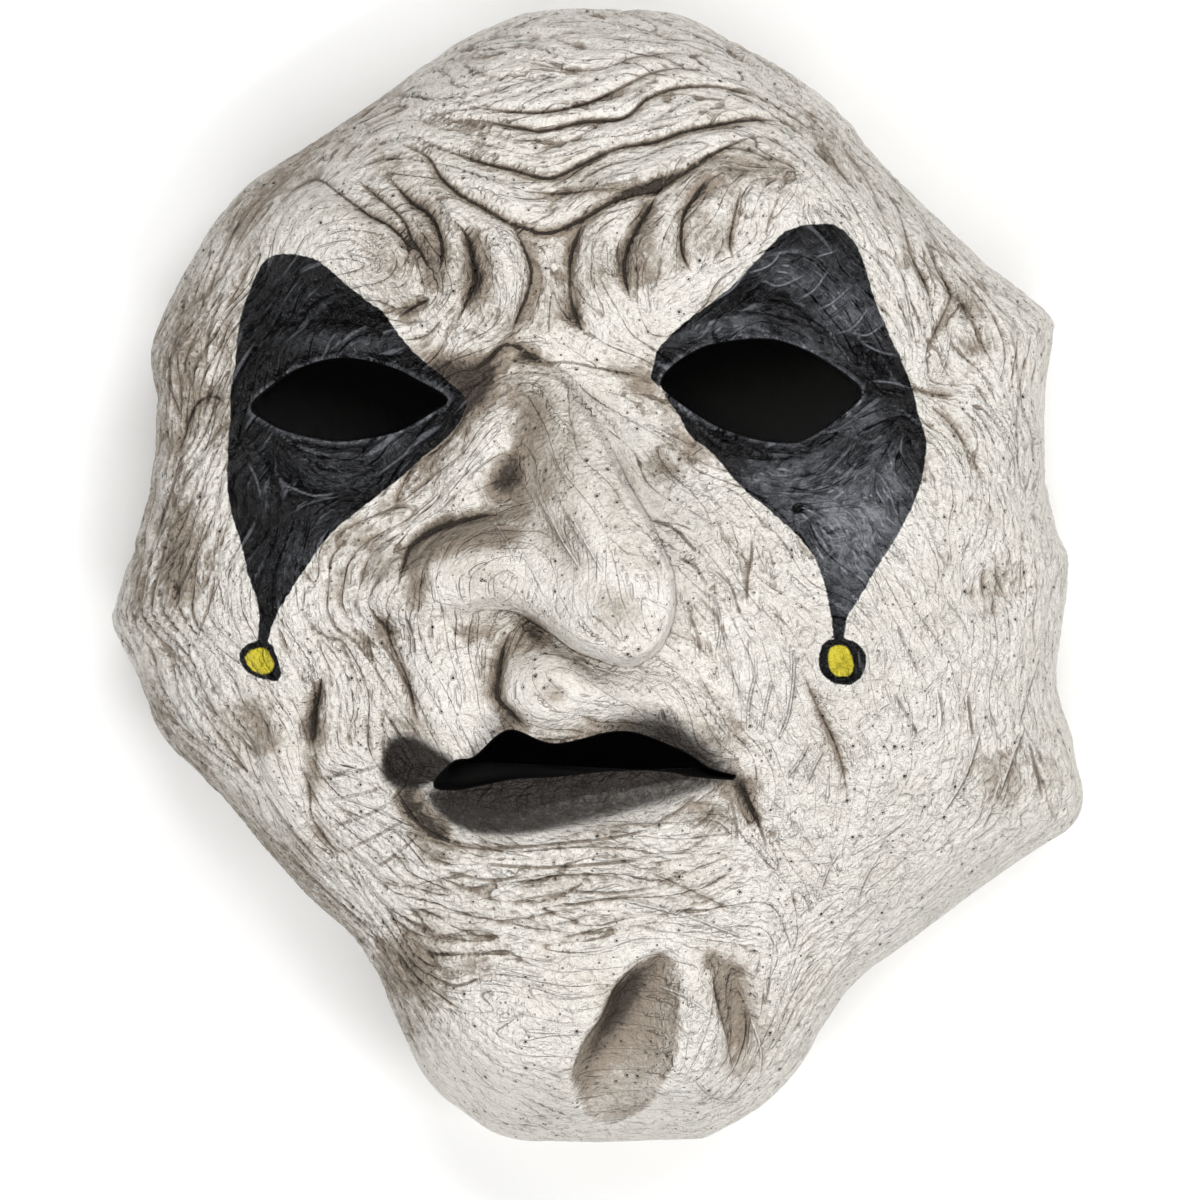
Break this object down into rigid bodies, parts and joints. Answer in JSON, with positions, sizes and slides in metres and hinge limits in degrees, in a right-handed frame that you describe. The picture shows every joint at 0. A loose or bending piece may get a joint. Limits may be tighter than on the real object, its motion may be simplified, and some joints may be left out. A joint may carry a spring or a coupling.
{
  "type": "tragedy mask",
  "caption": "Full-face tragedy mask: a hollow latex shell with a scowling, deeply wrinkled face, hooked nose, open eye holes and mouth slot, lying on its rim.",
  "frame": {"origin": "centre of the bounding box in plan, on the plane that the rim lies on", "axes": "+Z out of the face, +Y from the chin to the forehead, +X to the right of a viewer who faces the mask"},
  "size_m": [0.2226, 0.2601, 0.1068],
  "materials": {
    "latex": "slush-cast latex rubber, matt ivory with a brown wash in the creases and black eye paint"
  },
  "bodies": {
    "root": {"mask": "latex"}
  },
  "joints": []
}
